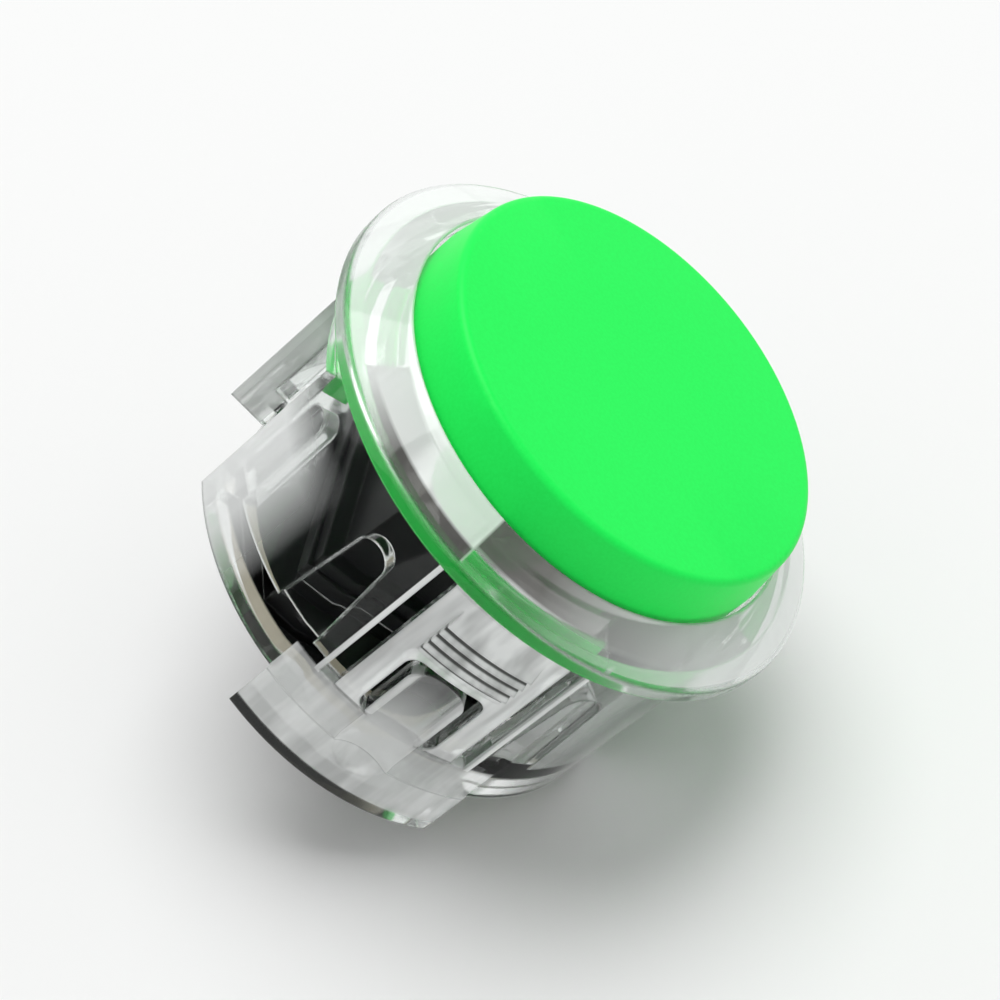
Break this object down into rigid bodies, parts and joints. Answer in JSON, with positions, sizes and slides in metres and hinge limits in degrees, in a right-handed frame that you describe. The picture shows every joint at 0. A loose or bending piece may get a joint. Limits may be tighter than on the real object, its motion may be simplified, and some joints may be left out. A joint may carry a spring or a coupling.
{
  "type": "arcade push button",
  "caption": "Round snap-in arcade push button: clear bezel and body with ridged spring arms, bright green plunger and a black mechanical key-switch inside with blade terminals.",
  "frame": {"origin": "centre of the panel hole on the underside of the bezel, which is the panel's face", "axes": "+Z along the press axis, out of the panel towards the player; the snap arms lie on -Y and +Y"},
  "size_m": [0.0334, 0.0332, 0.0289],
  "materials": {
    "clear_plastic": "gloss",
    "green_plastic": "satin",
    "black_plastic": "satin",
    "stem_plastic": "satin",
    "spring_steel": "drawn",
    "contact_brass": "rolled",
    "board": "satin",
    "tinned_tab": "tinned"
  },
  "bodies": {
    "body": {"clear_housing": "clear_plastic", "switch_lower_housing": "black_plastic", "switch_upper_housing": "black_plastic", "return_spring": "spring_steel", "contact_leaf": "contact_brass", "fixed_contact": "contact_brass", "terminal_board": "board", "tab_terminal_1": "tinned_tab", "tab_terminal_2": "tinned_tab", "solder_joints": "tinned_tab"},
    "plunger": {"plunger_cap": "green_plastic", "switch_stem": "stem_plastic"}
  },
  "joints": [
    {"name": "plunger_press", "type": "slide", "parent": "body", "child": "plunger", "axis": [0, 0, 1], "range_m": [-0.003, 0], "stiffness_N_per_m": 130, "springref_m": 0.003, "deforming": ["return_spring"]}
  ]
}
